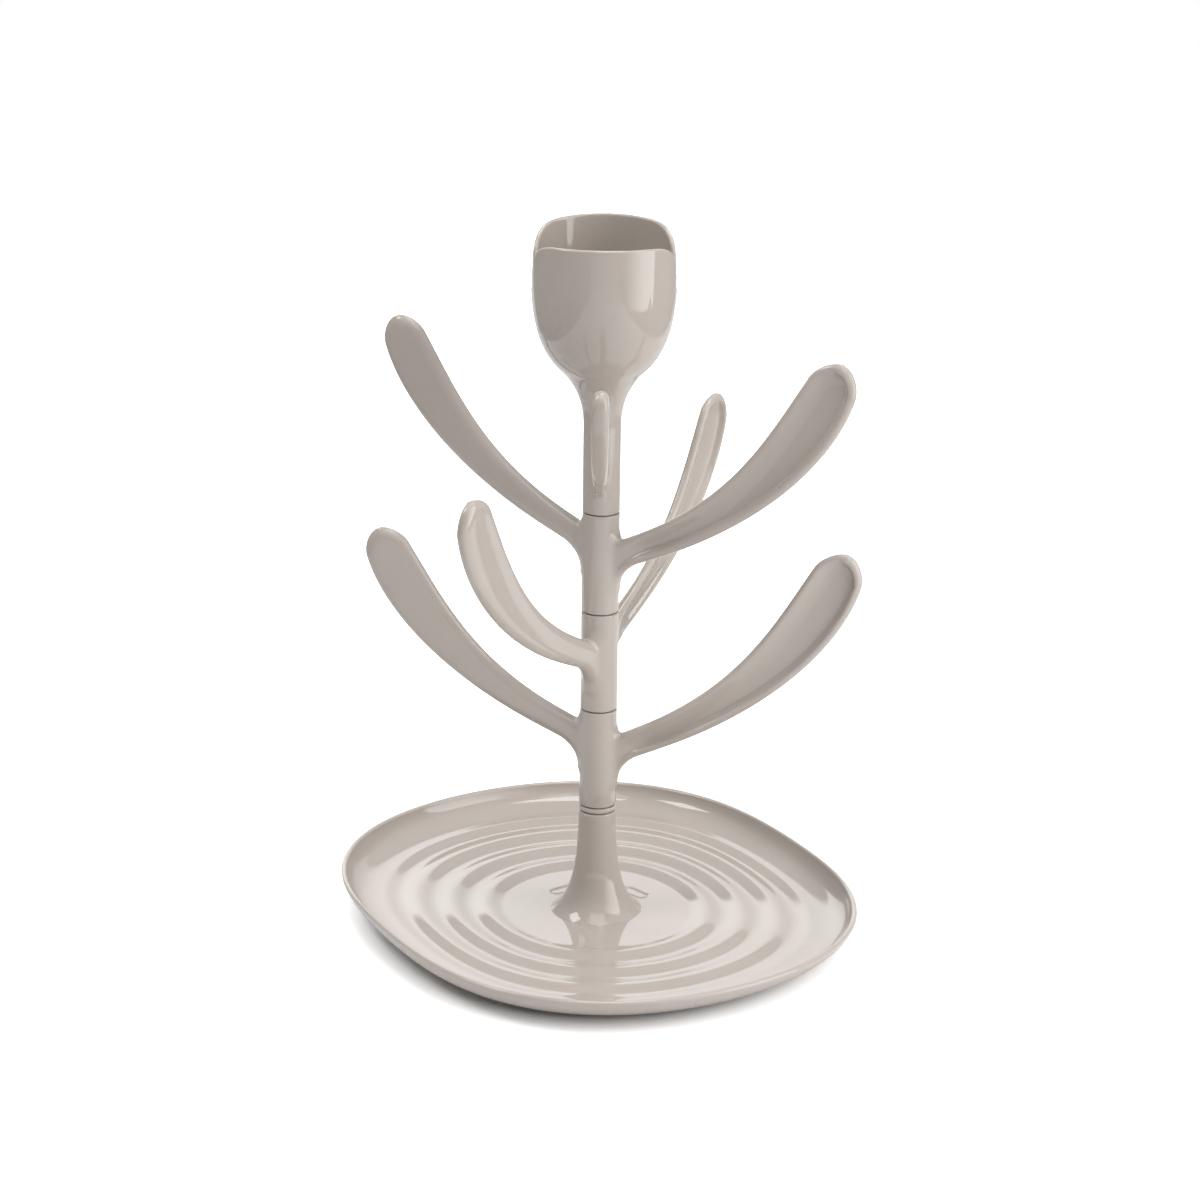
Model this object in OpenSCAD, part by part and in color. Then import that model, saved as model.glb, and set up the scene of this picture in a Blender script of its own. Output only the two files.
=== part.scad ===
// Bottle drying rack: drip tray, flared foot, collar, three branch modules and a tulip cup stacked on one axis

/* [Tray] */
// Mean radius of the tray at its rim
tray_r = 109; // [95:0.5:130]
// How far the outline is stretched along its long axis
tray_oval = 8; // [0:0.25:12]
// Direction of the long axis of the outline
tray_oval_turn = 116; // [0:1:180]
// How far the outline leans towards a rounded square
tray_square = 2.6; // [0:0.1:5]
// Direction of one corner of that rounded square
tray_square_turn = -15; // [-45:1:45]
// Height of the rim above the table
tray_rim_h = 15; // [12:0.1:20]
// Thickness of the tray floor at the centre
tray_floor_t = 2; // [1.8:0.1:4]
// Thickness of the rim
tray_rim_t = 2.4; // [1.6:0.1:4]
// Inward lean of the inner wall from rim to floor
tray_wall_run = 13; // [6:0.5:16]
// Inward lean of the outer wall from rim to underside
tray_under_run = 22; // [12:0.5:26]

/* [Ripples] */
// Number of ripple rings
ripple_count = 4; // [2:1:6]
// Radius where the ripples start
ripple_start = 38; // [34:0.5:60]
// Height of the innermost ripple
ripple_h = 1.5; // [0.4:0.1:2]
// Rise of the floor from the centre to the wall
floor_rise = 1; // [0:0.1:2]

/* [Pads and pockets] */
// How far the pads lift the tray off the table
pad_lift = 2; // [0.8:0.1:3]
// Pad radius
pad_r = 6; // [4:0.5:10]
// Depth of the pad seats in the underside
pad_seat = 0.6; // [0.3:0.1:1]
// Distance of the pads from the axis
pad_reach = 72; // [50:1:76]
// Distance of the two pockets from the axis
pocket_reach = 27; // [25:0.5:34]
// Length of a pocket
pocket_len = 13; // [8:0.5:18]
// Width of a pocket
pocket_w = 5; // [3:0.5:6]
// Depth of a pocket
pocket_depth = 0.5; // [0.4:0.1:1.2]
// Angle between each pocket and the rear of the tray
pocket_turn = 38; // [30:1:60]

/* [Trunk and joints] */
// Outer radius of the trunk
trunk_r = 7.6; // [7:0.1:10]
// Height of one branch module, shoulder to shoulder
pitch = 42; // [40:0.5:56]
// Radius of the spigots
spigot_r = 5.5; // [5:0.1:5.8]
// Length of a spigot above its shoulder
spigot_h = 9.5; // [7:0.5:10]
// Radial running clearance of a spigot in its socket
spigot_clear = 0.06; // [0.03:0.01:0.1]
// Gap between two stacked shoulders
seat_gap = 0.05; // [0.02:0.01:0.2]
// Free depth above a spigot end
end_clear = 0.6; // [0.4:0.1:1.5]
// Radius of the bore down the trunk
bore_r = 3.8; // [2.5:0.1:4]
// Chamfer at the ends of each module, seen as a thin dark line
edge_cut = 0.4; // [0.2:0.05:0.8]

/* [Foot and collar] */
// Height of the foot from tray floor to its shoulder
foot_h = 44.3; // [38:0.1:60]
// Radius of the foot where it stands
foot_r = 18.9; // [16:0.1:22]
// Radius of the plug under the foot
plug_r = 11; // [8:0.5:14]
// Height of the collar ring
collar_h = 2.5; // [1.5:0.1:4]

/* [Large leaves] */
// Height of the lower leaf's root above its module's foot
leaf_root_z = 23.8; // [22:0.2:28]
// How much higher the second leaf of a module starts
leaf_stagger = 5.6; // [0:0.1:8]
// Reach of the lower leaf's tip from the axis
leaf_reach = 99.7; // [80:0.1:110]
// Rise of the lower leaf from root to tip
leaf_rise = 90.2; // [75:0.1:100]
// Half the greatest width of the lower leaf
leaf_half_w = 11.2; // [8:0.1:13]
// Size of the second leaf against the first
leaf_second = 0.92; // [0.8:0.01:1]
// Sideways sweep of the lower leaf's tip
leaf_sweep = 5.5; // [0:0.1:8]
// Sideways sweep of the second leaf's tip
leaf_second_sweep = 1.6; // [0:0.1:8]
// Thickness of a large leaf at its rim
leaf_t = 5.4; // [4:0.1:8]
// Depth of the dished face
leaf_dish = 2.8; // [1:0.1:3.5]
// Width of the raised rim round the dish
leaf_rim = 3.6; // [1.5:0.1:4.5]
// Fillet under a leaf's root
leaf_fillet = 9; // [4:0.5:10]

/* [Cup] */
// Height of the cup module
cup_h = 115.9; // [100:0.1:130]
// Outer radius of the cup
cup_r = 28.9; // [24:0.1:34]
// Wall thickness of the cup
cup_wall = 1.9; // [1.4:0.1:3]
// Width of the two side notches
notch_w = 9; // [6:0.5:14]
// Depth of the two side notches
notch_depth = 23.5; // [12:0.5:30]
// Radius of the petal corners
petal_r = 5; // [2:0.5:7]
// How much the petal edge drops from its middle to its corners
petal_drop = 1.8; // [0.5:0.1:3]
// How much the rear petal stands above the front one
petal_back_rise = 2.6; // [0:0.1:5]
// Height of the small leaves' roots above the cup module's foot
mini_root_z = 12; // [11.5:0.1:16]
// Reach of the small leaves' tips from the axis
mini_reach = 58; // [45:0.5:64]
// Rise of the small leaves from root to tip
mini_rise = 53.5; // [48:0.5:66]
// Half the greatest width of a small leaf
mini_half_w = 6.2; // [4:0.1:8]
// Thickness of a small leaf at its rim
mini_t = 6.2; // [4:0.1:7]

/* [Pose] */
// Direction of the lower module's first leaf
lower_turn = -12.3; // [-180:0.1:180]
// Direction of the middle module's first leaf
middle_turn = 237.4; // [0:0.1:360]
// Direction of the upper module's first leaf
upper_turn = -25.7; // [-180:0.1:180]
// Direction of the cup's first small leaf
cup_turn = -90; // [-180:1:180]

/* [Hidden] */
$fn = 96;

eps = 0.01;
plastic = [0.72, 0.69, 0.66];
rubber = [0.45, 0.44, 0.43];

// Heights of the stack above the table
floor_z = pad_lift + tray_floor_t;
foot_top = floor_z + foot_h;
collar_z = foot_top + seat_gap;
lower_z = collar_z + collar_h + seat_gap;
middle_z = lower_z + pitch;
upper_z = middle_z + pitch;
cup_z = upper_z + pitch;
socket_r = spigot_r + spigot_clear;
socket_h = spigot_h + end_clear;

// Mesh steps of the freely curved faces
tray_steps = 72;
wave_steps = 6;
leaf_steps = 22;
section_steps = 9;

// Shape of a leaf: shares of reach and rise, and of half width, from root to tip
leaf_start_r = socket_r + 0.3;
run_share = [0, 0.253, 0.617, 0.902, 1];
rise_share = [0, 0.127, 0.258, 0.685, 1];
width_share = [0.545, 0.604, 0.398, 1.544, 0.732];

function mix(a, b, k) = a + (b - a) * k;
function clamp01(k) = min(1, max(0, k));
function ease(k) = clamp01(k) * clamp01(k) * (3 - 2 * clamp01(k));
function bez3(p, t) = pow(1 - t, 3) * p[0] + 3 * pow(1 - t, 2) * t * p[1]
                    + 3 * (1 - t) * t * t * p[2] + t * t * t * p[3];
function bez4(p, t) = pow(1 - t, 4) * p[0] + 4 * pow(1 - t, 3) * t * p[1] + 6 * pow(1 - t, 2) * t * t * p[2]
                    + 4 * (1 - t) * t * t * t * p[3] + pow(t, 4) * p[4];

// Outline of the tray, softened towards a circle at the centre
function outline(a) = tray_oval * cos(2 * (a - tray_oval_turn)) + tray_square * cos(4 * (a - tray_square_turn));
function tray_pt(p, a) = let (r = p[0] + outline(a) * pow(p[0] / tray_r, 2)) [r * cos(a), r * sin(a), p[1]];

ripple_end = tray_r - tray_rim_t - tray_wall_run;
wave_n = ripple_count * wave_steps;
wall_n = 7;
lip_n = 6;
under_n = 6;
lip_r = tray_rim_t / 2;
function wave_z(k) = floor_z + floor_rise * ease(k)
                   + ripple_h * (1 - 0.3 * k) * (1 - cos(360 * ripple_count * k)) / 2;
wall_ctrl = [[ripple_end, floor_z + floor_rise], [ripple_end + 0.5 * tray_wall_run, floor_z + floor_rise],
             [tray_r - tray_rim_t - 0.22 * tray_wall_run, mix(floor_z, tray_rim_h, 0.5)],
             [tray_r - tray_rim_t, tray_rim_h - lip_r]];
under_ctrl = [[tray_r, tray_rim_h - lip_r], [tray_r - 0.1 * tray_under_run, mix(pad_lift, tray_rim_h, 0.45)],
              [tray_r - 0.45 * tray_under_run, pad_lift], [tray_r - tray_under_run, pad_lift]];
tray_profile = concat(
    [for (i = [0:wave_n]) let (k = i / wave_n) [mix(ripple_start, ripple_end, k), wave_z(k)]],
    [for (i = [1:wall_n]) bez3(wall_ctrl, i / wall_n)],
    [for (i = [1:lip_n - 1]) let (a = 180 - 180 * i / lip_n)
        [tray_r - lip_r + lip_r * cos(a), tray_rim_h - lip_r + lip_r * sin(a)]],
    [for (i = [0:under_n]) bez3(under_ctrl, i / under_n)]);

// Skin over a stack of closed rings with flat ends
module skin(rings) {
    n = len(rings);
    m = len(rings[0]);
    pts = [for (ring = rings) for (p = ring) p];
    sides = [for (i = [0:n - 2]) for (j = [0:m - 1]) let (k = (j + 1) % m)
        each [[i * m + j, i * m + k, (i + 1) * m + j], [i * m + k, (i + 1) * m + k, (i + 1) * m + j]]];
    ends = [[for (j = [0:m - 1]) m - 1 - j], [for (j = [0:m - 1]) (n - 1) * m + j]];
    polyhedron(points = pts, faces = concat(sides, ends), convexity = 8);
}

module pocket() {
    half = (pocket_len - pocket_w) / 2;
    translate([pocket_reach, 0, floor_z - pocket_depth]) {
        translate([-pocket_w / 2, -half, 0]) cube([pocket_w, 2 * half, pocket_depth + 1]);
        for (s = [-1, 1]) translate([0, s * half, 0]) cylinder(r = pocket_w / 2, h = pocket_depth + 1);
    }
}

module pad_places() {
    for (i = [0:3]) rotate([0, 0, 45 + 90 * i]) translate([pad_reach, 0, 0]) children();
}

module drip_tray() {
    color(plastic) difference() {
        skin([for (p = tray_profile) [for (j = [0:tray_steps - 1]) tray_pt(p, 360 * j / tray_steps)]]);
        translate([0, 0, -eps]) cylinder(r = plug_r + spigot_clear, h = floor_z + 1);
        for (s = [-1, 1]) rotate([0, 0, 90 + s * pocket_turn]) pocket();
        pad_places() translate([0, 0, pad_lift - 1]) cylinder(r = pad_r + seat_gap, h = pad_seat + 1);
    }
}

module foot_pads() {
    color(rubber) pad_places() rotate_extrude()
        polygon([[0, 0], [pad_r - pad_seat, 0], [pad_r, pad_seat], [pad_r, pad_lift + pad_seat], [0, pad_lift + pad_seat]]);
}

// Flared foot with a plug below and a spigot above
foot_ctrl = [[foot_r, 0.5], [0.525 * foot_r, 0.145 * foot_h], [trunk_r + 0.4, 0.45 * foot_h],
             [trunk_r, foot_h - edge_cut]];
foot_n = 20;
module stem_foot() {
    plug_h = tray_floor_t - 0.2;
    color(plastic) translate([0, 0, floor_z]) rotate_extrude() polygon(concat(
        [[bore_r, -plug_h], [plug_r - edge_cut, -plug_h], [plug_r, edge_cut - plug_h], [plug_r, 0]],
        [[foot_r - 0.2, 0]],
        [for (i = [0:foot_n]) bez3(foot_ctrl, i / foot_n)],
        [[trunk_r - edge_cut, foot_h], [spigot_r, foot_h]],
        [[spigot_r, foot_h + collar_h + spigot_h - edge_cut], [spigot_r - edge_cut, foot_h + collar_h + spigot_h]],
        [[bore_r, foot_h + collar_h + spigot_h]]));
}

module stem_collar() {
    color(plastic) translate([0, 0, collar_z]) rotate_extrude() polygon([
        [socket_r, 0], [trunk_r - edge_cut, 0], [trunk_r, edge_cut],
        [trunk_r, collar_h - edge_cut], [trunk_r - edge_cut, collar_h], [socket_r, collar_h]]);
}

// One leaf peg pointing along +X: swept section with a dish on its clockwise face
function leaf_r(t, reach) = leaf_start_r + (reach - leaf_start_r) * bez4(run_share, t);
function leaf_z(t, rise) = rise * bez4(rise_share, t);
function leaf_tilt(t, reach, rise) = let (d = 0.004, a = max(0, t - d), b = min(1, t + d))
    atan2(leaf_z(b, rise) - leaf_z(a, rise), leaf_r(b, reach) - leaf_r(a, reach));
function flare(gap, fillet) = gap >= fillet ? 0 : fillet - sqrt(fillet * fillet - pow(fillet - max(gap, 0), 2));

// Half section from the upper edge round the back, then across the dish, as [share of half width, depth]
function section(h, thick, dish, rim) = let (b = 0.62 * thick, f = 0.38 * thick, e = min(1, rim / h)) concat(
    [for (i = [0:section_steps - 1]) let (a = 180 * i / (section_steps - 1))
        [sign(cos(a)) * pow(abs(cos(a)), 0.85), -b * pow(sin(a), 0.8)]],
    [[-(1 - 0.12 * e), 0.62 * f], [-(1 - 0.45 * e), f], [-(1 - 0.95 * e), f - 0.5 * dish]],
    [[-(1 - 1.5 * e) * (e < 0.6 ? 1 : 0.1), f - dish], [(1 - 1.5 * e) * (e < 0.6 ? 1 : 0.1), f - dish]],
    [[1 - 0.95 * e, f - 0.5 * dish], [1 - 0.45 * e, f], [1 - 0.12 * e, 0.62 * f]]);

function leaf_ring(t, reach, rise, half_w, thick, fillet, sweep) = let (
    r = leaf_r(t, reach), z = leaf_z(t, rise),
    away = norm([reach - r, rise - z]), cap = 0.95 * half_w,
    tip = away < cap ? sqrt(1 - pow(1 - away / cap, 2)) : 1,
    h = half_w * bez4(width_share, t) * tip,
    up = h + flare(r - trunk_r, 0.3 * fillet), down = h + flare(r - trunk_r, fillet),
    tilt = leaf_tilt(t, reach, rise) * ease((r - trunk_r) / (0.45 * reach)),
    th = thick * mix(1.25, 1, ease(t / 0.3)) * pow(tip, 0.6),
    rim = min(leaf_rim, 0.42 * h),
    dish = leaf_dish * thick / leaf_t * ease((t - 0.03) / 0.22) * pow(tip, 1.6))
    [for (q = section(h, th, min(dish, 0.62 * th), rim)) let (w = q[0] * (q[0] > 0 ? up : down))
        [r - w * sin(tilt), sweep * t * t - q[1], z + w * cos(tilt)]];

module leaf(reach, rise, half_w, thick, fillet, sweep) {
    skin([for (i = [0:leaf_steps]) let (t = min(0.998, (1 - cos(180 * i / leaf_steps)) / 2))
        leaf_ring(t, reach, rise, half_w, thick, fillet, sweep)]);
}

// Trunk tube with a socket below and a spigot above
module branch(turn, base) {
    top = pitch - seat_gap;
    second_reach = leaf_start_r + (leaf_reach - leaf_start_r) * leaf_second;
    color(plastic) translate([0, 0, base]) rotate([0, 0, turn]) union() {
        rotate_extrude() polygon([
            [socket_r, 0], [trunk_r - edge_cut, 0], [trunk_r, edge_cut], [trunk_r, top - edge_cut],
            [trunk_r - edge_cut, top], [spigot_r, top], [spigot_r, top + spigot_h - edge_cut],
            [spigot_r - edge_cut, top + spigot_h], [bore_r, top + spigot_h], [bore_r, socket_h], [socket_r, socket_h]]);
        translate([0, 0, leaf_root_z])
            leaf(leaf_reach, leaf_rise, leaf_half_w, leaf_t, leaf_fillet, leaf_sweep);
        translate([0, 0, leaf_root_z + leaf_stagger]) rotate([0, 0, 180])
            leaf(second_reach, leaf_rise * leaf_second, leaf_half_w * leaf_second, leaf_t, leaf_fillet, leaf_second_sweep);
    }
}

module lower_branch() { branch(lower_turn, lower_z); }
module middle_branch() { branch(middle_turn, middle_z); }
module upper_branch() { branch(upper_turn, upper_z); }

// Stem flaring into the tulip cup
flare_share = 0.311;
bowl_share = 0.511;
wall_share = 0.845;
cup_n = 14;
cup_low = [[trunk_r, flare_share * cup_h], [trunk_r, 0.397 * cup_h], [0.388 * cup_r, 0.462 * cup_h],
           [0.595 * cup_r, bowl_share * cup_h]];
cup_high = [[0.595 * cup_r, bowl_share * cup_h], [0.817 * cup_r, 0.563 * cup_h], [cup_r, 0.647 * cup_h],
            [cup_r, wall_share * cup_h]];
cup_in = [[0, bowl_share * cup_h + 1.3 * cup_wall], [0.72 * cup_r, bowl_share * cup_h + 1.5 * cup_wall],
          [cup_r - cup_wall, 0.647 * cup_h + cup_wall], [cup_r - cup_wall, wall_share * cup_h]];

module cup_shell() {
    rotate_extrude() polygon(concat(
        [[socket_r, 0], [trunk_r - edge_cut, 0], [trunk_r, edge_cut]],
        [for (i = [0:cup_n]) bez3(cup_low, i / cup_n)],
        [for (i = [1:cup_n]) bez3(cup_high, i / cup_n)],
        [[cup_r, cup_h + 1], [cup_r - cup_wall, cup_h + 1]],
        [for (i = [0:cup_n]) bez3(cup_in, 1 - i / cup_n)],
        [[0, flare_share * cup_h], [bore_r, flare_share * cup_h - bore_r], [bore_r, socket_h], [socket_r, socket_h]]));
}

// Height of a petal at its middle: the front petal is the lower one
function petal_top(side) = cup_h - (side < 0 ? petal_back_rise : 0);

// Space under the arched edge of one petal
module crown(side) {
    crown_r = (pow(0.8 * cup_r, 2) + petal_drop * petal_drop) / (2 * petal_drop);
    translate([0, -side * eps, petal_top(side) - crown_r]) rotate([-side * 90, 0, 0])
        cylinder(r = crown_r, h = 2 * cup_r, $fn = 360);
}

// Side notch with round foot and rounded petal corners, drawn across the cup
module notch() {
    rotate([90, 0, 90]) linear_extrude(height = 3 * cup_r, center = true) {
        translate([-notch_w / 2, cup_h - notch_depth + notch_w / 2])
            square([notch_w, notch_depth - notch_w / 2 + 2]);
        translate([0, cup_h - notch_depth + notch_w / 2]) circle(r = notch_w / 2);
        for (s = [-1, 1]) let (corner_z = petal_top(s) - petal_drop - petal_r) difference() {
            translate([s > 0 ? notch_w / 2 - eps : -notch_w / 2 - petal_r + eps, corner_z])
                square([petal_r, petal_r + petal_drop + petal_back_rise + 2]);
            translate([s * (notch_w / 2 + petal_r), corner_z]) circle(r = petal_r);
        }
    }
}

module top_cup() {
    color(plastic) translate([0, 0, cup_z]) rotate([0, 0, cup_turn + 90]) union() {
        difference() {
            intersection() {
                cup_shell();
                union() {
                    crown(-1);
                    crown(1);
                }
            }
            notch();
        }
        for (s = [-1, 1]) rotate([0, 0, s * 90]) translate([0, 0, mini_root_z])
            leaf(mini_reach, mini_rise, mini_half_w, mini_t, 0.35 * leaf_fillet, 0);
    }
}

drip_tray();
foot_pads();
stem_foot();
stem_collar();
lower_branch();
middle_branch();
upper_branch();
top_cup();
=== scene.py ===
import math

import bmesh
import bpy
import numpy as np
import openvdb
from mathutils import Matrix, Vector


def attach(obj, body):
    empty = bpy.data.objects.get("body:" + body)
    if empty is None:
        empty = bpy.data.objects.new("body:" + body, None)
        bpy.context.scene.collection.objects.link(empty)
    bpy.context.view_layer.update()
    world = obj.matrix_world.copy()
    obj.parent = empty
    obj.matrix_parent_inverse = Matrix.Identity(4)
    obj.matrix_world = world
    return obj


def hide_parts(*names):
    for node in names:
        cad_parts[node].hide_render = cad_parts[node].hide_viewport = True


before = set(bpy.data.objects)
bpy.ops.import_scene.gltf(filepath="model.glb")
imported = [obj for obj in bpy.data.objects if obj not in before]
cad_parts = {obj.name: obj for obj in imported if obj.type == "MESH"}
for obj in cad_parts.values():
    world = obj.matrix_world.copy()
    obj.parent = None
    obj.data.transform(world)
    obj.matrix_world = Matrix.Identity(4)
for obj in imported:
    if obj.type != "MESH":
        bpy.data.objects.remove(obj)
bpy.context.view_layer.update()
scene = bpy.context.scene
MM = 0.001

# Tray and pads: sizes in millimetres and angles in degrees, here and below
TRAY_R, TRAY_RIM_H, TRAY_RIM_T, TRAY_FLOOR_T = 109.0, 15.0, 2.4, 2.0
TRAY_OVAL, TRAY_OVAL_TURN = 8.0, 116.0
TRAY_SQUARE, TRAY_SQUARE_TURN = 2.6, -15.0
TRAY_WALL_RUN, TRAY_UNDER_RUN = 15.5, 22.0
RIPPLES, RIPPLE_START, RIPPLE_H, RIPPLE_FADE, FLOOR_RISE = 3.5, 38.8, 1.3, 0.3, 1.0
POCKET_REACH, POCKET_LEN, POCKET_W = 22.5, 13.0, 5.0
POCKET_TURN, POCKET_TWIST = 41.0, -5.0
POCKET_DEPTH, POCKET_EDGE_W = 0.25, 1.1
POCKET_GROOVE, POCKET_GROOVE_W = 0.35, 0.5
PAD_LIFT, PAD_R, PAD_SEAT, PAD_REACH, PAD_EYE_R = 2.0, 6.0, 0.6, 72.0, 0.2

# Trunk, foot and collar
TRUNK_R, PITCH, BORE_R, EDGE = 7.6, 42.0, 3.8, 0.4
SPIGOT_R, SPIGOT_H, SPIGOT_CLEAR, SEAT_GAP, END_CLEAR = 5.5, 9.5, 0.06, 0.05, 0.6
GROOVE_H, GROOVE_DEPTH, GROOVE_CHAMFER = 0.65, 1.2, 0.1
FOOT_H, FOOT_R, FOOT_EDGE_H, FOOT_SEAT, COLLAR_H = 44.3, 18.9, 0.02, 0.05, 2.5
PLUG_R, PLUG_SHORT = 11.0, 0.2

# Leaf pegs: their curve and width as shares, and the dish with its rim
LEAF_ROOT_Z, LEAF_STAGGER, LEAF_REACH, LEAF_RISE = 23.8, 5.6, 99.7, 90.2
LEAF_HALF_W, LEAF_T, LEAF_DISH, LEAF_FILLET, LEAF_BLEND = 11.2, 5.4, 3.0, 9.0, 4.0
LEAF_SECOND, LEAF_SWEEP, LEAF_SECOND_SWEEP = 0.92, 5.5, 1.6
RUN_SHARE = (0, 0.253, 0.617, 0.902, 1)
RISE_SHARE = (0, 0.127, 0.258, 0.685, 1)
WIDTH_SHARE = (0.545, 0.604, 0.398, 1.544, 0.732)
TILT_SHARE, TIP_SHARE, UPPER_FILLET_SHARE = 0.45, 0.95, 0.3
BACK_ROUND, FRONT_ROUND, CROWN_SHARE, CROWN_RUN = 4.2, 2.5, 0.16, 1.05
THICK_SHARE = 0.98
DISH_RIM, DISH_WALL, DISH_LIP, DISH_BANK, DISH_SLOPE = 2.4, 2.1, 0.4, 5.0, 9.0
DISH_BANK_SHARE, DISH_START_SHARE = 0.3, 0.16

# Cup and its two small leaf pegs
CUP_H, CUP_R, CUP_WALL, CUP_ROUND = 115.9, 28.9, 1.9, 1.3
FLARE_SHARE, BOWL_SHARE, WALL_SHARE = 0.311, 0.511, 0.845
NECK_SHARE, BELLY_SHARE = 0.595, 0.647
NOTCH_W, NOTCH_DEPTH = 9.0, 23.5
PETAL_DROP, PETAL_HALF_W, PETAL_BACK_RISE = 0.8, 0.8 * CUP_R, 2.6
PETAL_CORNER_W, PETAL_CORNER_H, PETAL_CORNER_CLEAR = 22.0, 16.0, 0.2
MINI_ROOT_Z, MINI_REACH, MINI_RISE, MINI_HALF_W = 12.0, 58.0, 53.5, 6.2
MINI_T, MINI_DISH, MINI_FILLET, MINI_BLEND = 6.9, 2.4, 0.35 * LEAF_FILLET, 2.4
MINI_TIP_RUN, MINI_TIP_BEYOND = 10.0, 1.5
STEM_OVER, BORE_TIP_R = 2, 0.4

# Heights of the stack and turns of its modules
FLOOR_Z = PAD_LIFT + TRAY_FLOOR_T
COLLAR_Z = FLOOR_Z + FOOT_H + SEAT_GAP
LOWER_Z = COLLAR_Z + COLLAR_H + SEAT_GAP
CUP_Z = LOWER_Z + 3 * PITCH
SOCKET_R = SPIGOT_R + SPIGOT_CLEAR
SOCKET_H = SPIGOT_H + END_CLEAR
LEAF_START_R = SOCKET_R + 0.3
BRANCHES = (("lower", -12.3), ("middle", 237.4), ("upper", -25.7))

# Grid of the blended shapes: step, reach of the distances in steps, steps left round a shape
VOXEL, BAND, MARGIN = 0.4, 14, 6
BRANCH_SMOOTH, CUP_SMOOTH = 6, 5

# Trunk in the grid: its box, the length drawn past its ends, and where the ends are cut off
TRUNK_BOX = ((-9, -9, -3), (9, 9, PITCH + 3))
TRUNK_OVER = 1.6
SOCKET_CUT, SPIGOT_CUT, CUT_R, CUT_H = 1.2, 1.0, 9.5, 6.0

# Mesh steps round a full turn, and angles above which an edge is shaded sharp
TRAY_AROUND, TURNED_AROUND, PAD_AROUND = 432, 160, 64
SHARP_MOULDED, SHARP_TURNED, SHARP_TRAY = 40, 38, 50


# Curves
def ease(k):
    k = np.clip(k, 0.0, 1.0)
    return k * k * (3 - 2 * k)


def round_edge(k):
    k = np.clip(k, 0.0, 1.0)
    return np.sqrt(1 - (1 - k) ** 2)


def bezier(ctrl, t):
    ctrl = np.asarray(ctrl, float)
    t = np.asarray(t, float)
    n = len(ctrl) - 1
    total = 0.0
    for i in range(n + 1):
        share = math.comb(n, i) * (1 - t) ** (n - i) * t**i
        total = total + (share[..., None] * ctrl[i] if ctrl.ndim > 1 else share * ctrl[i])
    return total


# Leaf pegs
def leaf_line(t, reach, rise):
    r = LEAF_START_R + (reach - LEAF_START_R) * bezier(RUN_SHARE, t)
    return r, rise * bezier(RISE_SHARE, t)


def leaf_tilt(t, reach, rise):
    step = 0.004
    r0, z0 = leaf_line(np.maximum(0, t - step), reach, rise)
    r1, z1 = leaf_line(np.minimum(1, t + step), reach, rise)
    return np.arctan2(z1 - z0, r1 - r0)


def flare(gap, fillet):
    near = fillet - np.clip(gap, 0, fillet)
    return fillet - np.sqrt(fillet**2 - near**2)


def distance_to_line(px, py, lx, ly):
    best = np.full(px.shape, 1e9)
    for x, y in zip(lx, ly):
        best = np.minimum(best, (px - x) ** 2 + (py - y) ** 2)
    return np.sqrt(best)


def leaf_hollow(low, high, size):
    """Share of the dish's depth: steep wall inside the lower rim, bank and slope from the upper edge."""
    inside = (high - DISH_LIP * size) / size
    bank = np.clip(inside / DISH_BANK, 0, 1)
    slope = DISH_BANK_SHARE * bank + (1 - DISH_BANK_SHARE) * ease(inside / DISH_SLOPE)
    return ease((low - DISH_RIM * size) / (DISH_WALL * size)) * slope


def leaf_quads(rings, steps):
    i, j = np.meshgrid(np.arange(rings - 1), np.arange(steps), indexing="ij")
    k = (j + 1) % steps
    corners = [i * steps + j, i * steps + k, (i + 1) * steps + k, (i + 1) * steps + j]
    return np.stack(corners, -1).reshape(-1, 4)


def leaf_caps(rings, steps):
    """Triangles that close both ends round a middle point each."""
    j = np.arange(steps)
    k = (j + 1) % steps
    last = (rings - 1) * steps
    middle = np.full(steps, rings * steps)
    start = np.stack([middle, k, j], -1)
    end = np.stack([middle + 1, last + j, last + k], -1)
    return np.concatenate([start, end])


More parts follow.
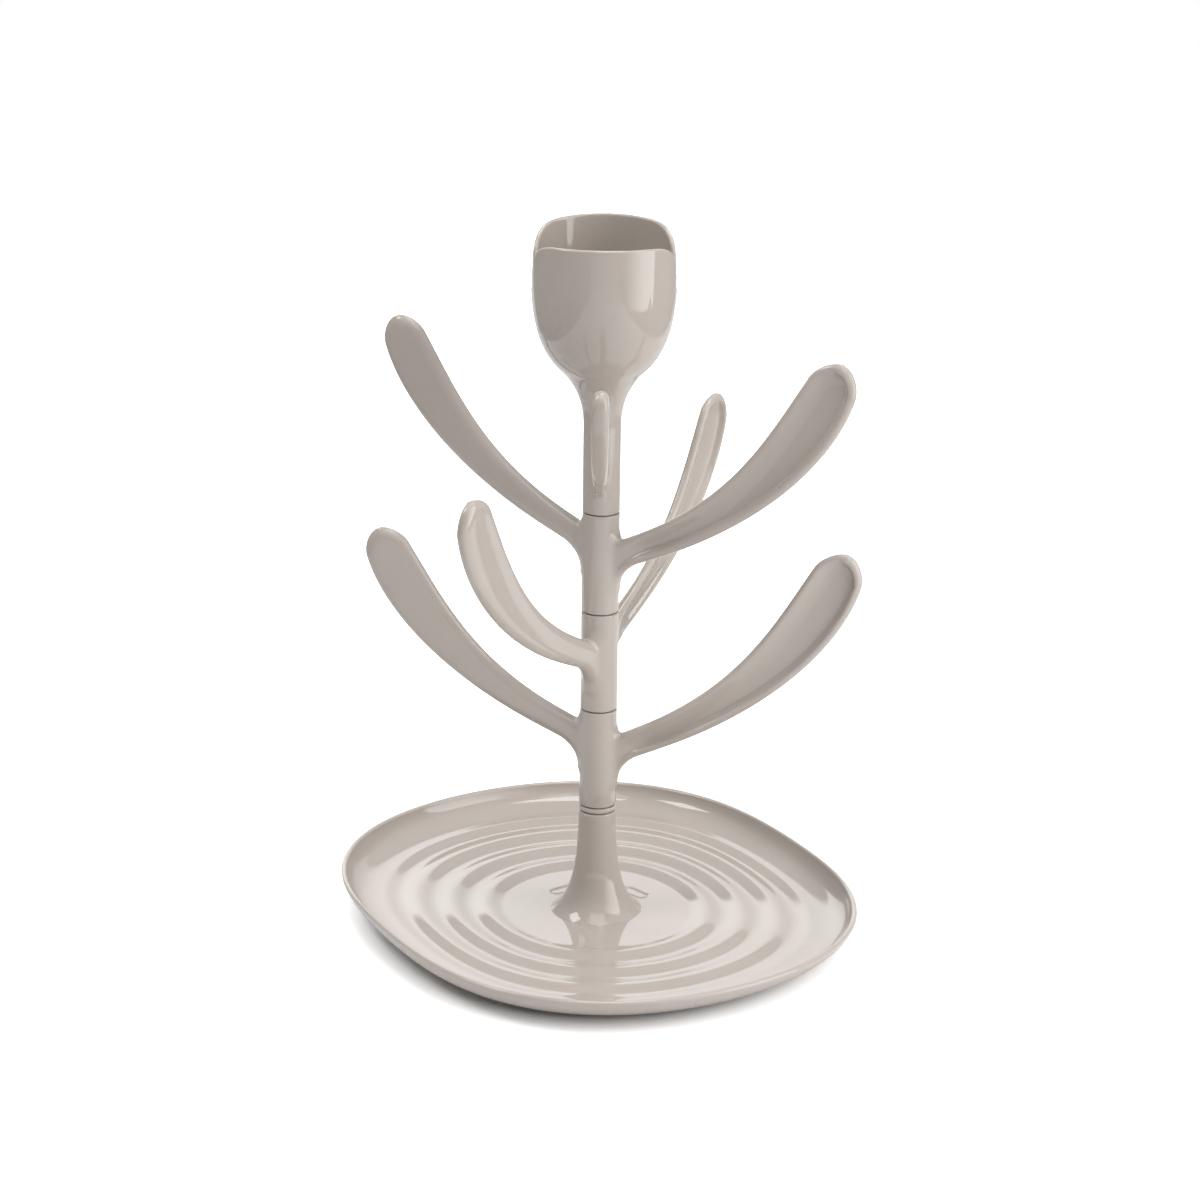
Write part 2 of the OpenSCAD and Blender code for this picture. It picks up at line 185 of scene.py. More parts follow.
def leaf_mesh(reach, rise, half_w, thick, fillet, sweep, dish, rings=150, steps=88,
              root=1.25, root_run=0.3, tip_run=0.0, back_share=0.56, soft=1.0):
    """Closed swept leaf along +X with a dish on its clockwise face and a raised rim round it."""
    t = np.minimum(0.9992, (1 - np.cos(np.linspace(0, math.pi, rings))) / 2)
    r, z = leaf_line(t, reach, rise)
    out = r - TRUNK_R
    away = np.hypot(reach - r, rise - z)
    tilt = (leaf_tilt(t, reach, rise) * ease(out / (TILT_SHARE * reach)))[:, None]
    width = half_w * bezier(WIDTH_SHARE, t) * round_edge(away / (TIP_SHARE * half_w))
    up = width + flare(out, UPPER_FILLET_SHARE * fillet)
    down = width + flare(out, fillet)
    along = np.concatenate([[0], np.cumsum(np.hypot(np.diff(r), np.diff(z)))])

    a = np.linspace(0, 2 * math.pi, steps, endpoint=False)[None, :]
    share = np.cos(a)
    w = np.where(share > 0, share * up[:, None], share * down[:, None])
    s = np.repeat(along[:, None], steps, 1)
    low = distance_to_line(s, w, along, -down)
    high = distance_to_line(s, w, along, up)
    edge = np.minimum(low, high)

    grow = (1 + (root - 1) * (1 - ease(t / root_run))) * thick
    if tip_run > 0:
        grow = grow * round_edge((away + MINI_TIP_BEYOND) / tip_run)
    grow = grow[:, None]
    crown = CROWN_SHARE * round_edge(edge / (CROWN_RUN * half_w))
    crest = (1 - CROWN_SHARE) * round_edge(edge / (BACK_ROUND * soft)) + crown
    back = back_share * crest * grow
    front = (THICK_SHARE - back_share) * round_edge(edge / (FRONT_ROUND * soft)) * grow
    fade = ease(out / (DISH_START_SHARE * reach))[:, None]
    front = front - dish * thick / LEAF_T * leaf_hollow(low, high, half_w / LEAF_HALF_W) * fade
    depth = np.where(np.sin(a) < 0, front, -back)
    depth = np.where(np.abs(np.sin(a)) < 1e-9, 0.0, depth)

    x = r[:, None] - w * np.sin(tilt)
    y = (sweep * t * t)[:, None] - depth
    verts = np.stack([x, y, z[:, None] + w * np.cos(tilt)], -1).reshape(-1, 3)
    ends = np.array([verts[:steps].mean(0), verts[-steps:].mean(0)])
    return np.concatenate([verts, ends]), leaf_caps(rings, steps), leaf_quads(rings, steps)


def turned(leaf, degrees, lift):
    verts, tris, quads = leaf
    c, s = math.cos(math.radians(degrees)), math.sin(math.radians(degrees))
    x, y, z = verts.T
    return np.stack([c * x - s * y, s * x + c * y, z + lift], -1), tris, quads


# Distance fields on a regular grid
def grid_round(leaves, box):
    """Lowest grid step and number of steps that hold the leaves and a box."""
    points = np.concatenate([leaf[0] for leaf in leaves] + [np.array(box, float)])
    low = np.floor(points.min(0) / VOXEL).astype(int) - MARGIN
    return low, tuple(np.ceil(points.max(0) / VOXEL).astype(int) + MARGIN - low)


def grid_points(low, shape):
    axes = [(low[i] + np.arange(shape[i])) * VOXEL for i in range(3)]
    return axes[0][:, None, None], axes[1][None, :, None], axes[2][None, None, :]


def leaf_field(leaves, low, shape):
    best = None
    for verts, tris, quads in leaves:
        grid = openvdb.FloatGrid.createLevelSetFromPolygons(
            verts.astype(np.float32), tris.astype(np.uint32), quads.astype(np.uint32),
            openvdb.createLinearTransform(VOXEL), float(BAND))
        values = np.zeros(shape, np.float32)
        grid.copyToArray(values, ijk=tuple(int(v) for v in low))
        best = values if best is None else np.minimum(best, values)
    return best


def blend(a, b, k):
    near = np.maximum(k - np.abs(a - b), 0) / k
    return np.minimum(a, b) - near**3 * k / 6


def cut(a, b, k):
    return -blend(-a, -b, k)


def polygon_distance(px, py, poly):
    """Signed distance to a closed polygon, below zero inside."""
    best = np.full(px.shape, 1e9)
    inside = np.zeros(px.shape, bool)
    for (ax, ay), (bx, by) in zip(poly, np.roll(poly, -1, 0)):
        ex, ey = bx - ax, by - ay
        if ex == 0 and ey == 0:
            continue
        k = np.clip(((px - ax) * ex + (py - ay) * ey) / (ex * ex + ey * ey), 0, 1)
        best = np.minimum(best, (px - ax - k * ex) ** 2 + (py - ay - k * ey) ** 2)
        if ay != by:
            inside ^= ((ay > py) != (by > py)) & (px < (bx - ax) * (py - ay) / (by - ay) + ax)
    return np.where(inside, -1, 1) * np.sqrt(best)


def turned_field(poly, x, y, z):
    """Signed distance to a turned shape, read from a fine table over radius and height."""
    fine, radius, bottom, top = 0.2, 90, -9, CUP_H + 14
    rr, zz = np.meshgrid(np.arange(0, radius, fine), np.arange(bottom, top, fine), indexing="ij")
    flat = polygon_distance(rr, zz, poly)
    fr = np.minimum(np.hypot(x, y) / fine, flat.shape[0] - 2.001)
    fz = np.clip((z - bottom) / fine, 0, flat.shape[1] - 2.001)
    i, k = fr.astype(int), fz.astype(int)
    u, v = fr - i, fz - k
    below = (1 - u) * flat[i, k] + u * flat[i + 1, k]
    above = (1 - u) * flat[i, k + 1] + u * flat[i + 1, k + 1]
    return (1 - v) * below + v * above


# Meshes from fields and arrays
def smooth_points(points, quads, rounds):
    """Even out the grid's steps without shrinking the shape."""
    pairs = np.concatenate([quads[:, [i, (i + 1) % 4]] for i in range(4)])
    pairs = np.concatenate([pairs, pairs[:, ::-1]])
    here, there = pairs.T
    count = np.bincount(here, minlength=len(points)).astype(float)[:, None]
    for _ in range(rounds):
        for step in (0.5, -0.52):
            total = [np.bincount(here, points[there, axis], len(points)) for axis in range(3)]
            points = points + step * (np.stack(total, -1) / count - points)
    return points


def array_mesh(points, faces, name="moulding"):
    mesh = bpy.data.meshes.new(name)
    mesh.from_pydata([tuple(p) for p in points], [], [tuple(int(i) for i in f) for f in faces])
    return mesh


def field_bmesh(field, low, rounds):
    reach = VOXEL * BAND
    grid = openvdb.FloatGrid(reach)
    values = np.ascontiguousarray(np.clip(field, -reach, reach), np.float32)
    grid.copyFromArray(values, ijk=tuple(int(v) for v in low))
    grid.transform = openvdb.createLinearTransform(VOXEL)
    points, quads = grid.convertToQuads(0.0)
    quads = np.array(quads, np.int64)[:, ::-1]
    scratch = array_mesh(smooth_points(np.array(points, float), quads, rounds), quads)
    bm = bmesh.new()
    bm.from_mesh(scratch)
    bpy.data.meshes.remove(scratch)
    return bm


def bmesh_mesh(bm):
    bmesh.ops.recalc_face_normals(bm, faces=bm.faces)
    mesh = bpy.data.meshes.new("moulding")
    bm.to_mesh(mesh)
    bm.free()
    return mesh


def ring_faces(around, n, order):
    """Quads between a closed profile's neighbouring copies round a full circle."""
    i, j = np.meshgrid(np.arange(around), np.arange(n), indexing="ij")
    k, m = (i + 1) % around, (j + 1) % n
    corners = (i * n + j, k * n + j, k * n + m, i * n + m)
    return np.stack([corners[c] for c in order], -1).reshape(-1, 4)


def lathe(profile, around):
    """Closed ring of a closed profile of radii and heights."""
    r, z = np.asarray(profile, float).T
    a = np.linspace(0, 2 * math.pi, around, endpoint=False)[:, None]
    verts = np.stack([r * np.cos(a), r * np.sin(a), np.repeat(z[None], around, 0)], -1)
    return verts.reshape(-1, 3), ring_faces(around, len(r), (0, 1, 2, 3))


# Trunk ends
def loop_verts(edges):
    return {v for e in edges for v in e.verts}


def place_ring(verts, radius, z):
    for v in verts:
        length = math.hypot(v.co.x, v.co.y)
        v.co = (v.co.x * radius / length, v.co.y * radius / length, z)


def in_cut_ring(face, plane):
    return all(math.hypot(v.co.x, v.co.y) < CUT_R and abs(v.co.z - plane) < CUT_H for v in face.verts)


def trim_end(bm, plane, keep_above):
    """Cut the trunk square at a height and return the round loop of edges left open there."""
    faces = [f for f in bm.faces if in_cut_ring(f, plane)]
    edges = dict.fromkeys(e for f in faces for e in f.edges)
    verts = dict.fromkeys(v for f in faces for v in f.verts)
    bmesh.ops.bisect_plane(bm, geom=[*verts, *edges, *faces], dist=1e-4, plane_co=(0, 0, plane),
                           plane_no=(0, 0, 1), clear_inner=keep_above, clear_outer=not keep_above)
    loop = [e for e in bm.edges if e.is_boundary and all(abs(v.co.z - plane) < 0.01 for v in e.verts)]
    place_ring(loop_verts(loop), TRUNK_R, plane)
    return loop


def lathe_on(bm, edges, profile):
    """Carry an open round loop on through the radii and heights of a profile."""
    for radius, z in profile:
        made = bmesh.ops.extrude_edge_only(bm, edges=edges)["geom"]
        edges = [g for g in made if isinstance(g, bmesh.types.BMEdge) and g.is_boundary]
        place_ring(loop_verts(edges), radius, z)
    return edges


# Joint line: a rounded shoulder below it and a small groove above it
def shoulder(z):
    turns = np.linspace(0, math.pi / 2, 6)
    return [(TRUNK_R - EDGE + EDGE * math.cos(a), z - EDGE + EDGE * math.sin(a)) for a in turns]


def groove(z):
    bottom_r = TRUNK_R - GROOVE_DEPTH
    return [(TRUNK_R, z + GROOVE_H + GROOVE_CHAMFER), (TRUNK_R - GROOVE_CHAMFER, z + GROOVE_H),
            (bottom_r, z + GROOVE_H), (bottom_r, z)]


def spigot(z, top):
    return [(SPIGOT_R, z), (SPIGOT_R, top - EDGE), (SPIGOT_R - EDGE, top), (BORE_R, top)]


def socket_end(bm):
    loop = trim_end(bm, SOCKET_CUT, True)
    return lathe_on(bm, loop, groove(0) + [(SOCKET_R, 0), (SOCKET_R, SOCKET_H), (BORE_R, SOCKET_H)])


def spigot_end(bm, z):
    loop = trim_end(bm, z - SPIGOT_CUT, False)
    return lathe_on(bm, loop, shoulder(z) + spigot(z, z + SPIGOT_H))


# Shader nodes
def map_range(tree, value, start, end, low=0.0, high=1.0):
    node = tree.nodes.new("ShaderNodeMapRange")
    node.inputs["From Min"].default_value = start
    node.inputs["From Max"].default_value = end
    node.inputs["To Min"].default_value = low
    node.inputs["To Max"].default_value = high
    tree.links.new(value, node.inputs["Value"])
    return node.outputs["Result"]


def combine(tree, operation, a, b):
    node = tree.nodes.new("ShaderNodeMath")
    node.operation = operation
    tree.links.new(a, node.inputs[0])
    tree.links.new(b, node.inputs[1])
    return node.outputs["Value"]


def times(tree, first, *more):
    for value in more:
        first = combine(tree, "MULTIPLY", first, value)
    return first


def split(tree, vector):
    node = tree.nodes.new("ShaderNodeSeparateXYZ")
    tree.links.new(vector, node.inputs["Vector"])
    return node.outputs["X"], node.outputs["Y"], node.outputs["Z"]


def texture_place(tree, kind):
    return tree.nodes.new("ShaderNodeTexCoord").outputs[kind]


def noise(tree, scale, detail):
    node = tree.nodes.new("ShaderNodeTexNoise")
    node.inputs["Scale"].default_value = scale
    node.inputs["Detail"].default_value = detail
    tree.links.new(texture_place(tree, "Object"), node.inputs["Vector"])
    return node.outputs["Fac"]


def new_material(name):
    mat = bpy.data.materials.new(name)
    mat.use_nodes = True
    return mat, mat.node_tree, mat.node_tree.nodes["Principled BSDF"]


# Moulded plastic, with a faint orange-peel skin and slight unevenness of tint and gloss
def plastic(name, colour, roughness, grain):
    mat, tree, bsdf = new_material(name)
    cloud = noise(tree, 22.0, 3.0)
    tint = tree.nodes.new("ShaderNodeValToRGB")
    for element, place, level in zip(tint.color_ramp.elements, (0.3, 0.7), (0.985, 1.015)):
        element.position = place
        element.color = tuple(min(1.0, level * c) for c in colour) + (1.0,)
    tree.links.new(cloud, tint.inputs["Fac"])
    tree.links.new(tint.outputs["Color"], bsdf.inputs["Base Color"])
    gloss = map_range(tree, cloud, 0.3, 0.7, 0.9 * roughness, 1.15 * roughness)
    tree.links.new(gloss, bsdf.inputs["Roughness"])
    bump = tree.nodes.new("ShaderNodeBump")
    bump.inputs["Strength"].default_value = grain
    bump.inputs["Distance"].default_value = 0.2 * MM
    tree.links.new(noise(tree, 420.0, 2.0), bump.inputs["Height"])
    tree.links.new(bump.outputs["Normal"], bsdf.inputs["Normal"])
    bsdf.inputs["IOR"].default_value = 1.5
    return mat


GREIGE = plastic("greige_plastic", (0.393, 0.35, 0.316), 0.06, 0.01)
RUBBER = plastic("pad_rubber", (0.15, 0.145, 0.14), 0.7, 0.3)


# Finished pieces
def finish_piece(name, mesh, body, node, material, sharp, spin=0.0, lift=0.0):
    """Place a mesh made in millimetres, shade it, tie it to its body, and hide the CAD node it stands for.
    """
    turn = Matrix.Rotation(math.radians(spin), 4, "Z")
    mesh.transform(Matrix.Translation((0, 0, lift * MM)) @ turn @ Matrix.Scale(MM, 4))
    mesh.validate()
    mesh.shade_smooth()
    mesh.set_sharp_from_angle(angle=math.radians(sharp))
    mesh.name = name
    obj = bpy.data.objects.new(name, mesh)
    scene.collection.objects.link(obj)
    obj.data.materials.append(material)
    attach(obj, body)
    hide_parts(node)


# Branch modules: trunk tube and two leaf pegs blended into one moulding
def branch_bmesh():
    second_reach = LEAF_START_R + (LEAF_REACH - LEAF_START_R) * LEAF_SECOND
    first = leaf_mesh(LEAF_REACH, LEAF_RISE, LEAF_HALF_W, LEAF_T, LEAF_FILLET, LEAF_SWEEP, LEAF_DISH)
    second = leaf_mesh(second_reach, LEAF_RISE * LEAF_SECOND, LEAF_HALF_W * LEAF_SECOND, LEAF_T,
                       LEAF_FILLET, LEAF_SECOND_SWEEP, LEAF_DISH)
    leaves = [turned(first, 0, LEAF_ROOT_Z), turned(second, 180, LEAF_ROOT_Z + LEAF_STAGGER)]
    low, shape = grid_round(leaves, TRUNK_BOX)
    x, y, z = grid_points(low, shape)
    middle = PITCH / 2
    trunk = np.maximum(np.hypot(x, y) - TRUNK_R, np.abs(z - middle) - (middle + TRUNK_OVER))
    bm = field_bmesh(blend(leaf_field(leaves, low, shape), trunk, LEAF_BLEND), low, BRANCH_SMOOTH)
    foot_loop = socket_end(bm)
    head_loop = spigot_end(bm, PITCH - SEAT_GAP)
    bmesh.ops.bridge_loops(bm, edges=foot_loop + head_loop)
    return bm


branch = bmesh_mesh(branch_bmesh())
for level, (place, spin) in enumerate(BRANCHES):
    finish_piece(place + "_branch_moulding", branch.copy(), place + "_module", place + "_branch",
                 GREIGE, SHARP_MOULDED, spin, LOWER_Z + level * PITCH)
bpy.data.meshes.remove(branch)


# Top module: stem, two small leaf pegs and the tulip cup
def cup_polygon():
    steps = np.linspace(0, 1, 40)
    over, under = CUP_H + 12, -8
    bowl_z, belly_z, wall_z = BOWL_SHARE * CUP_H, BELLY_SHARE * CUP_H, WALL_SHARE * CUP_H
    neck = (NECK_SHARE * CUP_R, bowl_z)
    inner_r = CUP_R - CUP_WALL
    low = bezier([(TRUNK_R, FLARE_SHARE * CUP_H), (TRUNK_R, 0.397 * CUP_H), (0.388 * CUP_R, 0.462 * CUP_H),
                  neck], steps)
    high = bezier([neck, (0.817 * CUP_R, 0.563 * CUP_H), (CUP_R, belly_z), (CUP_R, wall_z)], steps)
    inside = bezier([(0, bowl_z + 1.3 * CUP_WALL), (0.72 * CUP_R, bowl_z + 1.5 * CUP_WALL),
                     (inner_r, belly_z + CUP_WALL), (inner_r, wall_z)], steps)
    return np.concatenate([[(TRUNK_R, under)], low, high[1:], [(CUP_R, over), (inner_r, over)],
                           inside[::-1], [(0, under)]])


def petal_tops(x, z, top):
    """Distance to the gently crowned top of each petal."""
    crown_r = (PETAL_HALF_W**2 + PETAL_DROP**2) / (2 * PETAL_DROP)
    return np.hypot(x, z - (top - crown_r)) - crown_r


def notch(y, z, top):
    """Distance to a slot with a round foot, opened out at its top to round the petal corners."""
    half = NOTCH_W / 2
    foot_z = CUP_H - NOTCH_DEPTH + half
    slot = np.where(z < foot_z, np.hypot(y, z - foot_z), np.abs(y)) - half
    qy = (np.abs(y) - half) / PETAL_CORNER_W - 1
    qz = (z - top - PETAL_CORNER_CLEAR) / PETAL_CORNER_H + 1
    slope = np.hypot(qy / PETAL_CORNER_W, qz / PETAL_CORNER_H)
    size = np.hypot(qy, qz)
    corner = (1 - size) * size / np.maximum(slope, 1e-6)
    return np.where((qy < 0) & (qz > 0), corner, slot)


def cup_bmesh():
    mini = leaf_mesh(MINI_REACH, MINI_RISE, MINI_HALF_W, MINI_T, MINI_FILLET, 0.0, MINI_DISH,
                     rings=120, steps=72, root=0.6, root_run=0.6, tip_run=MINI_TIP_RUN,
                     back_share=0.38, soft=0.4)
    leaves = [turned(mini, side, MINI_ROOT_Z) for side in (-90, 90)]
    low, shape = grid_round(leaves, ((-CUP_R, -CUP_R, -3), (CUP_R, CUP_R, CUP_H + 2)))
    x, y, z = grid_points(low, shape)
    top = np.where(y < 0, CUP_H - PETAL_BACK_RISE, CUP_H)
    field = cut(turned_field(cup_polygon(), x, y, z), petal_tops(x, z, top), CUP_ROUND)
    field = cut(field, -notch(y, z, top), CUP_ROUND)
    field = np.maximum(field, -STEM_OVER - z)
    bm = field_bmesh(blend(leaf_field(leaves, low, shape), field, MINI_BLEND), low, CUP_SMOOTH)
    bore_top = FLARE_SHARE * CUP_H
    loop = lathe_on(bm, socket_end(bm), [(BORE_R, bore_top - BORE_R), (BORE_TIP_R, bore_top)])
    bmesh.ops.holes_fill(bm, edges=loop, sides=0)
    return bm


finish_piece("top_cup_moulding", bmesh_mesh(cup_bmesh()), "cup_module", "top_cup",
             GREIGE, SHARP_MOULDED, lift=CUP_Z)


# Foot, collar and pads, turned on a lathe
def foot_profile():
    plug_z = PLUG_SHORT - TRAY_FLOOR_T
    plug = [(BORE_R, plug_z), (PLUG_R - EDGE, plug_z), (PLUG_R, plug_z + EDGE), (PLUG_R, 0)]
    curve = bezier([(FOOT_R, FOOT_EDGE_H), (0.525 * FOOT_R, 0.145 * FOOT_H),
                    (TRUNK_R + 0.4, 0.45 * FOOT_H), (TRUNK_R, FOOT_H - EDGE)], np.linspace(0, 1, 80))
    sole = [(FOOT_R - FOOT_SEAT, 0)] + [tuple(p) for p in curve]
    return plug + sole + shoulder(FOOT_H)[1:] + spigot(FOOT_H, FOOT_H + COLLAR_H + SPIGOT_H)


def collar_profile():
    return [(SOCKET_R, 0)] + groove(0)[::-1] + shoulder(COLLAR_H) + [(SOCKET_R, COLLAR_H)]


def pads():
    turns = np.linspace(0, math.pi / 2, 8)
    lip = [(PAD_R - PAD_SEAT * (1 - math.sin(a)), PAD_SEAT * (1 - math.cos(a))) for a in turns]
    top = PAD_LIFT + PAD_SEAT
    ring, quads = lathe([(PAD_EYE_R, 0)] + lip + [(PAD_R, top), (PAD_EYE_R, top)], PAD_AROUND)
    verts, faces = [], []
    for i in range(4):
        a = math.radians(45 + 90 * i)
        verts.append(ring + np.array([PAD_REACH * math.cos(a), PAD_REACH * math.sin(a), 0]))
        faces.append(quads + i * len(ring))
    return np.concatenate(verts), np.concatenate(faces)


finish_piece("stem_foot_turned", array_mesh(*lathe(foot_profile(), TURNED_AROUND)), "base", "stem_foot",
             GREIGE, SHARP_TURNED, lift=FLOOR_Z)
finish_piece("stem_collar_turned", array_mesh(*lathe(collar_profile(), TURNED_AROUND)), "base",
             "stem_collar", GREIGE, SHARP_TURNED, lift=COLLAR_Z)
finish_piece("foot_pads_moulded", array_mesh(*pads()), "base", "foot_pads", RUBBER, SHARP_MOULDED)


# Tray: rings of one profile, stretched to the pebble outline
def outline(a):
    a = np.degrees(a)
    return (TRAY_OVAL * np.cos(np.radians(2 * (a - TRAY_OVAL_TURN)))
            + TRAY_SQUARE * np.cos(np.radians(4 * (a - TRAY_SQUARE_TURN))))


def tray_profile():
    """Points along the rippled top from the foot's hole to the wall, and on over the rim and back below."""
    hole_r = PLUG_R + SPIGOT_CLEAR
    end = TRAY_R - TRAY_RIM_T - TRAY_WALL_RUN
    lip = TRAY_RIM_T / 2
    lip_z = TRAY_RIM_H - lip
    k = np.linspace(0, 1, 121)
    swell = RIPPLE_H * (1 - RIPPLE_FADE * k) * (1 - np.cos(2 * math.pi * RIPPLES * k)) / 2
    waves = FLOOR_Z + FLOOR_RISE * ease(k) + swell
    inner = np.linspace(hole_r, RIPPLE_START, 97)[:-1]
    middle = np.stack([inner, np.full(len(inner), FLOOR_Z)], -1)
    floor = np.stack([RIPPLE_START + (end - RIPPLE_START) * k, waves], -1)
    top = np.concatenate([middle, floor])
    wall = bezier([(end, waves[-1]), (end + 0.68 * TRAY_WALL_RUN, waves[-1]),
                   (TRAY_R - TRAY_RIM_T - 0.08 * TRAY_WALL_RUN, FLOOR_Z + 0.45 * (TRAY_RIM_H - FLOOR_Z)),
                   (TRAY_R - TRAY_RIM_T, lip_z)], np.linspace(0, 1, 24)[1:])
    turn = np.radians(180 - 180 * np.linspace(0, 1, 15)[1:-1])
    crest = np.stack([TRAY_R - lip + lip * np.cos(turn), lip_z + lip * np.sin(turn)], -1)
    under = bezier([(TRAY_R, lip_z),
                    (TRAY_R - 0.1 * TRAY_UNDER_RUN, PAD_LIFT + 0.45 * (TRAY_RIM_H - PAD_LIFT)),
                    (TRAY_R - 0.45 * TRAY_UNDER_RUN, PAD_LIFT), (TRAY_R - TRAY_UNDER_RUN, PAD_LIFT)],
                   np.linspace(0, 1, 28))
    below = np.linspace(TRAY_R - TRAY_UNDER_RUN, hole_r, 130)[1:]
    below = np.stack([below, np.full(len(below), PAD_LIFT)], -1)
    return top, np.concatenate([wall, crest, under, below])


def pocket_sink(x, y, side):
    """Depth of an oblong pocket beside the foot, with a fine groove along its edge."""
    turn = math.radians(90 + POCKET_TWIST + side * POCKET_TURN)
    u = x * math.cos(turn) + y * math.sin(turn) - POCKET_REACH
    v = -x * math.sin(turn) + y * math.cos(turn)
    straight = (POCKET_LEN - POCKET_W) / 2
    gap = np.hypot(u, np.maximum(np.abs(v) - straight, 0)) - POCKET_W / 2
    groove_depth = POCKET_GROOVE * np.exp(-((gap / POCKET_GROOVE_W) ** 2))
    return POCKET_DEPTH * ease(0.5 - gap / POCKET_EDGE_W) + groove_depth


def tray():
    top, rest = tray_profile()
    radius, height = np.concatenate([top, rest]).T
    a = np.linspace(0, 2 * math.pi, TRAY_AROUND, endpoint=False)[:, None]
    r = radius + outline(a) * (radius / TRAY_R) ** 2
    x, y = r * np.cos(a), r * np.sin(a)
    z = np.repeat(height[None], TRAY_AROUND, 0)
    on_top = np.arange(len(radius)) < len(top)
    for side in (-1, 1):
        z = z - np.where(on_top, pocket_sink(x, y, side), 0)
    return np.stack([x, y, z], -1).reshape(-1, 3), ring_faces(TRAY_AROUND, len(radius), (0, 3, 2, 1))


finish_piece("drip_tray_moulding", array_mesh(*tray()), "base", "drip_tray", GREIGE, SHARP_TRAY)


# Camera at the photograph's angle
AIM_Z, DISTANCE, ELEVATION, ROLL = 139.4, 1400.0, 18.8, 0.75
FOCAL_PX, PHOTO_PX, SENSOR = 3458.0, 1200, 36.0
cam_data = bpy.data.cameras.new("camera")
cam = bpy.data.objects.new("camera", cam_data)
scene.collection.objects.link(cam)
rise = math.radians(ELEVATION)
back = Vector((0, -math.cos(rise), math.sin(rise)))
cam.location = (Vector((0, 0, AIM_Z)) + back * DISTANCE) * MM
cam.rotation_mode = "QUATERNION"
roll = Matrix.Rotation(math.radians(ROLL), 3, "Z").to_quaternion()
cam.rotation_quaternion = (-back).to_track_quat("-Z", "Y") @ roll
cam_data.sensor_width = SENSOR
cam_data.lens = FOCAL_PX / PHOTO_PX * SENSOR
cam_data.clip_start, cam_data.clip_end = 0.05, 30.0
scene.camera = cam

# Studio, in metres: half axes of the oval inside which the floor has no painted glow and the shadow stays
# as cast, and the table top's sides
SHADOW_HALF = (0.107, 0.115)
TABLE_LEFT, TABLE_RIGHT, TABLE_FRONT, TABLE_BACK = -0.38, 0.43, -1.3, 2.6


# White table top with a painted glow seen by the camera only: none under the tray, where the object's
# shadow stays as cast, rising just past the tray's edge to lighten the shadow there, and more farther out
# so it runs to plain white
def floor_material():
    mat, tree, bsdf = new_material("studio_floor")
    bsdf.inputs["Base Color"].default_value = (0.9, 0.9, 0.9, 1)
    bsdf.inputs["Roughness"].default_value = 0.7
    bsdf.inputs["Specular IOR Level"].default_value = 0.1
    bsdf.inputs["Emission Color"].default_value = (1, 1, 1, 1)
    share = tree.nodes.new("ShaderNodeVectorMath")
    share.operation = "MULTIPLY"
    share.inputs[1].default_value = (1 / SHADOW_HALF[0], 1 / SHADOW_HALF[1], 0)
    tree.links.new(texture_place(tree, "Object"), share.inputs[0])
    away = tree.nodes.new("ShaderNodeVectorMath")
    away.operation = "LENGTH"
    tree.links.new(share.outputs["Vector"], away.inputs[0])
    # painted light: camera-only glow that lightens the floor and the object's shadow from just inside the
    # tray's edge outwards
    near = map_range(tree, away.outputs["Value"], 0.84, 1.03, 0.0, 0.56)
    far = map_range(tree, away.outputs["Value"], 1.6, 5.0)
    path = tree.nodes.new("ShaderNodeLightPath")
    seen = times(tree, combine(tree, "ADD", near, far), path.outputs["Is Camera Ray"])
    tree.links.new(seen, bsdf.inputs["Emission Strength"])
    return mat


corners = [(TABLE_LEFT, TABLE_FRONT, 0), (TABLE_RIGHT, TABLE_FRONT, 0),
           (TABLE_RIGHT, TABLE_BACK, 0), (TABLE_LEFT, TABLE_BACK, 0)]
floor = bpy.data.objects.new("studio_floor", array_mesh(corners, [(0, 1, 2, 3)], "studio_floor"))
floor.data.materials.append(floor_material())
scene.collection.objects.link(floor)


# Lamps: place and aim in metres, sides in metres, power in watts
def lamp(name, place, aim, size, power):
    data = bpy.data.lights.new(name, "AREA")
    data.shape = "RECTANGLE"
    data.size, data.size_y = size
    data.energy = power
    obj = bpy.data.objects.new(name, data)
    obj.location = place
    obj.rotation_mode = "QUATERNION"
    obj.rotation_quaternion = (Vector(aim) - Vector(place)).to_track_quat("-Z", "Y")
    obj.visible_camera = False
    scene.collection.objects.link(obj)
    return data


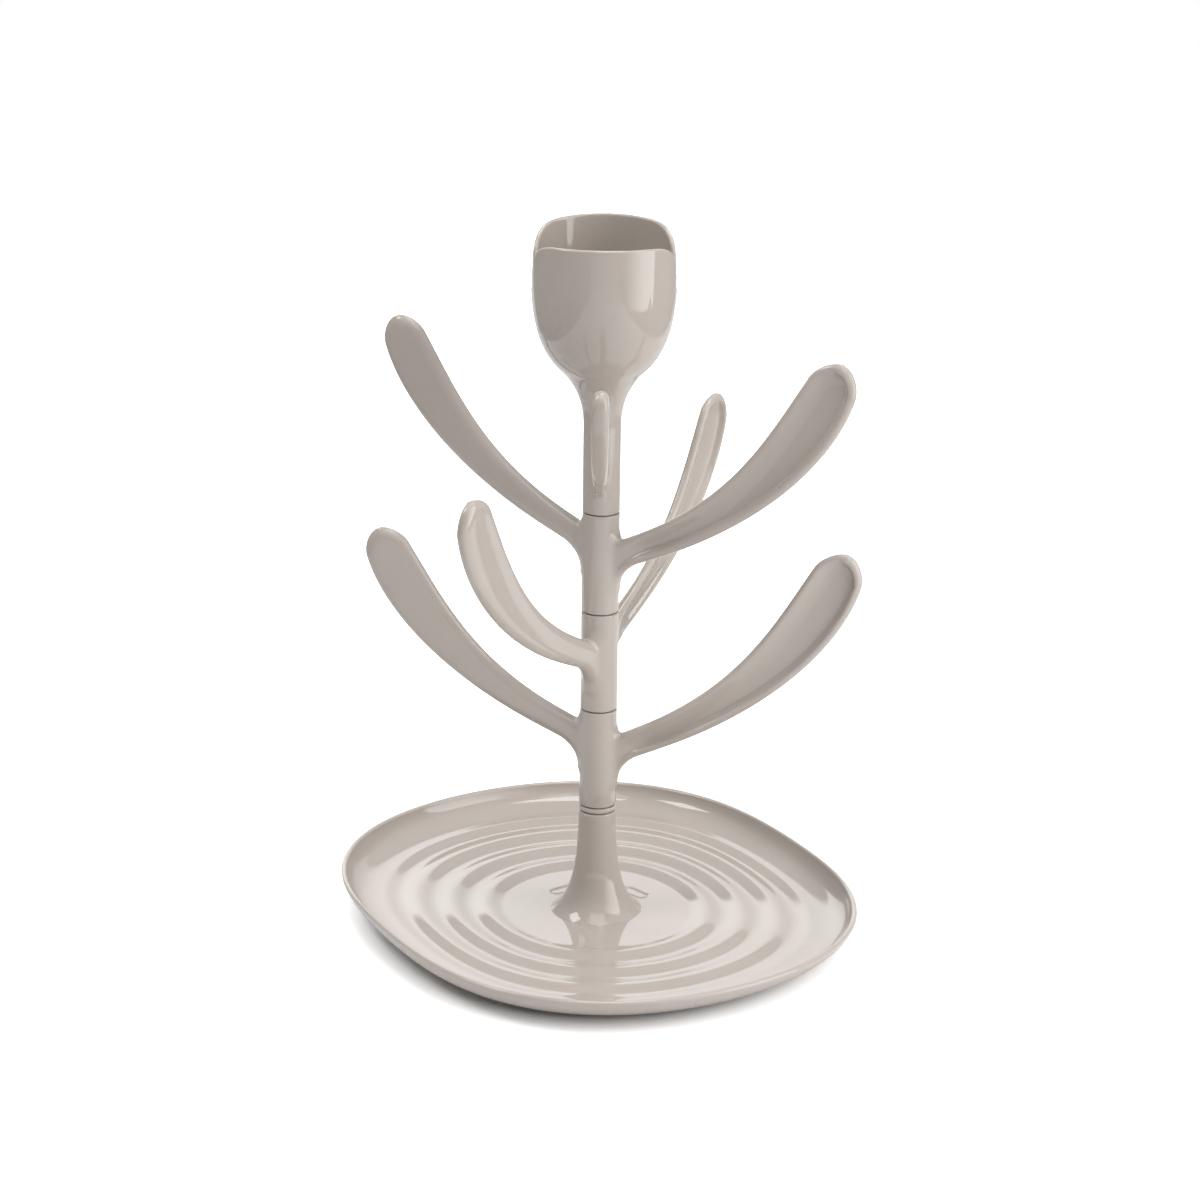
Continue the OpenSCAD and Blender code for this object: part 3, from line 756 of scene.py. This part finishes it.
def fade_in(data):
    """Let a lamp's light rise from one side to the other."""
    data.use_nodes = True
    tree = data.node_tree
    spot = tree.nodes.new("ShaderNodeNewGeometry")
    across = split(tree, spot.outputs["Parametric"])[0]
    tree.links.new(map_range(tree, across, 0.0, 0.6), tree.nodes["Emission"].inputs["Strength"])


lamp("top_softbox", (0.1, 0.15, 1.6), (0, 0, 0.1), (0.6, 0.6), 7.5)
lamp("front_softbox", (0.05, -0.55, 1.35), (0, 0, 0.1), (0.8, 0.8), 4.5)
fade_in(lamp("key_panel", (0.69, -0.435, 0.365), (0, 0, 0.2), (0.855, 0.9), 9.7))
lamp("left_spot", (-0.8, -0.1, 1.05), (0, 0, 0.05), (0.45, 0.45), 4.8)


def studio_world():
    """Dim room with a white card behind the object, brighter to the left and with height."""
    world = bpy.data.worlds.new("studio")
    world.use_nodes = True
    tree = world.node_tree
    x, y, z = split(tree, texture_place(tree, "Generated"))
    slant = combine(tree, "DIVIDE", x, y)
    card = times(tree, map_range(tree, slant, -0.72, -0.62), map_range(tree, slant, 0.72, 0.62),
                 map_range(tree, y, 0.02, 0.05), map_range(tree, z, 0.485, 0.455),
                 map_range(tree, z, 0.0, 0.45, 0.32, 1.08), map_range(tree, slant, -0.25, 0.25, 1.5, 0.5))
    level = tree.nodes.new("ShaderNodeMath")
    level.operation = "MULTIPLY_ADD"
    level.inputs[1].default_value = 1.82
    tree.links.new(card, level.inputs[0])
    tree.links.new(map_range(tree, z, 0.47, 0.53, 0.3, 0.62), level.inputs[2])
    path = tree.nodes.new("ShaderNodeLightPath")
    seen = tree.nodes.new("ShaderNodeMix")
    tree.links.new(path.outputs["Is Camera Ray"], seen.inputs["Factor"])
    tree.links.new(level.outputs["Value"], seen.inputs["A"])
    seen.inputs["B"].default_value = 1.0
    background = tree.nodes["Background"]
    background.inputs["Color"].default_value = (1, 1, 1, 1)
    tree.links.new(seen.outputs["Result"], background.inputs["Strength"])
    return world


scene.world = studio_world()
scene.view_settings.view_transform = "Standard"
